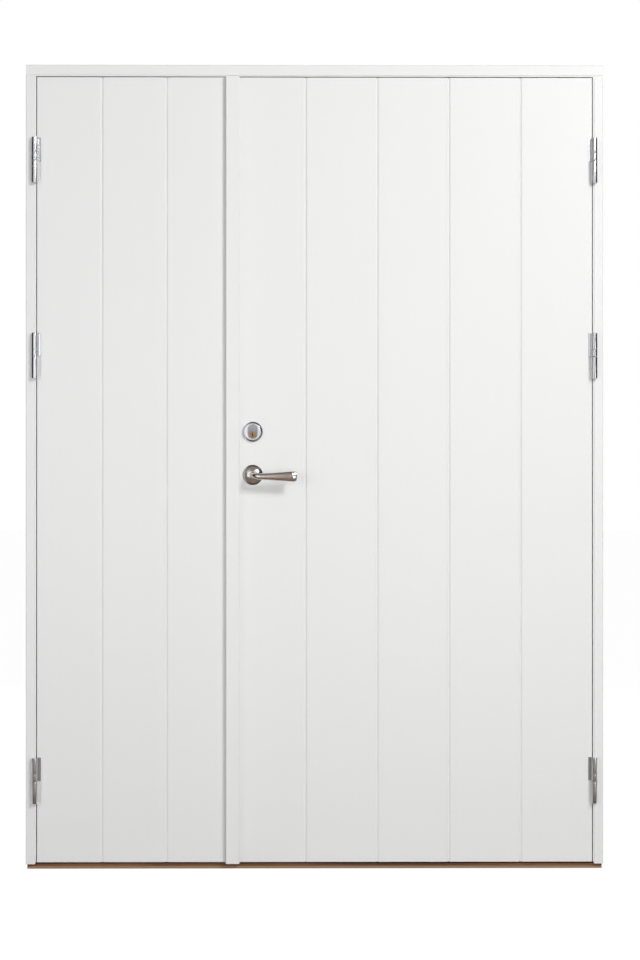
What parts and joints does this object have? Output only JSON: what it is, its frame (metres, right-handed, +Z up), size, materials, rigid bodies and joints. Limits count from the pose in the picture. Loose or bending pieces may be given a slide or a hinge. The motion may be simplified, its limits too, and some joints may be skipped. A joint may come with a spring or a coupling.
{
  "type": "double exterior door",
  "caption": "White boarded double exterior door: wide active leaf with lever handle and lock, narrow passive leaf, cover strip, lift-off hinges, rebated frame and oak threshold.",
  "frame": {"origin": "centre of the threshold's flat underside, where the frame stands", "axes": "+X to the right seen from outside, -Y outwards, +Z up"},
  "size_m": [1.49, 0.1746, 2.075],
  "materials": {
    "white_paint": "painted satin",
    "oak": "oiled",
    "hinge_steel": "zinc plated",
    "edge_plate_steel": "brushed",
    "nickel": "polished nickel",
    "plug_brass": "polished",
    "seal_rubber": "matt"
  },
  "bodies": {
    "frame": {"frame_head": "white_paint", "frame_jamb_left": "white_paint", "frame_jamb_right": "white_paint", "threshold": "oak", "seal_head": "seal_rubber", "seal_left": "seal_rubber", "seal_right": "seal_rubber", "seal_threshold": "seal_rubber", "hinge_frame_left_top": "hinge_steel", "hinge_frame_left_middle": "hinge_steel", "hinge_frame_left_bottom": "hinge_steel", "hinge_frame_right_top": "hinge_steel", "hinge_frame_right_middle": "hinge_steel", "hinge_frame_right_bottom": "hinge_steel"},
    "active_leaf": {"active_outer_skin": "white_paint", "active_core": "white_paint", "active_inner_skin": "white_paint", "astragal": "white_paint", "rose_outside": "nickel", "rose_inside": "nickel", "cylinder_ring_outside": "nickel", "cylinder_ring_inside": "nickel", "cylinder_body": "nickel", "lock_faceplate": "edge_plate_steel", "thumb_turn": "nickel", "hinge_leaf_right_top": "hinge_steel", "hinge_leaf_right_middle": "hinge_steel", "hinge_leaf_right_bottom": "hinge_steel"},
    "handle": {"lever_outside": "nickel", "lever_inside": "nickel"},
    "key_plug": {"cylinder_plug": "plug_brass"},
    "passive_leaf": {"passive_outer_skin": "white_paint", "passive_core": "white_paint", "passive_inner_skin": "white_paint", "strike_plate": "edge_plate_steel", "flush_bolt_top": "edge_plate_steel", "flush_bolt_bottom": "edge_plate_steel", "hinge_leaf_left_top": "hinge_steel", "hinge_leaf_left_middle": "hinge_steel", "hinge_leaf_left_bottom": "hinge_steel"}
  },
  "joints": [
    {"name": "active_leaf_swing", "type": "hinge", "parent": "frame", "child": "active_leaf", "pos_m": [0.721, -0.0607, 1.324], "axis": [0, 0, 1], "range_deg": [0, 110]},
    {"name": "passive_leaf_swing", "type": "hinge", "parent": "frame", "child": "passive_leaf", "pos_m": [-0.721, -0.0607, 1.324], "axis": [0, 0, -1], "range_deg": [0, 110]},
    {"name": "lever_turn", "type": "hinge", "parent": "active_leaf", "child": "handle", "pos_m": [-0.1602, -0.0515, 1.017], "axis": [0, 1, 0], "range_deg": [0, 45], "stiffness_Nm_per_rad": 1.5, "springref_deg": -28.65},
    {"name": "key_turn", "type": "hinge", "parent": "active_leaf", "child": "key_plug", "pos_m": [-0.1602, -0.0515, 1.1209], "axis": [0, 1, 0], "range_deg": [-90, 90]}
  ]
}
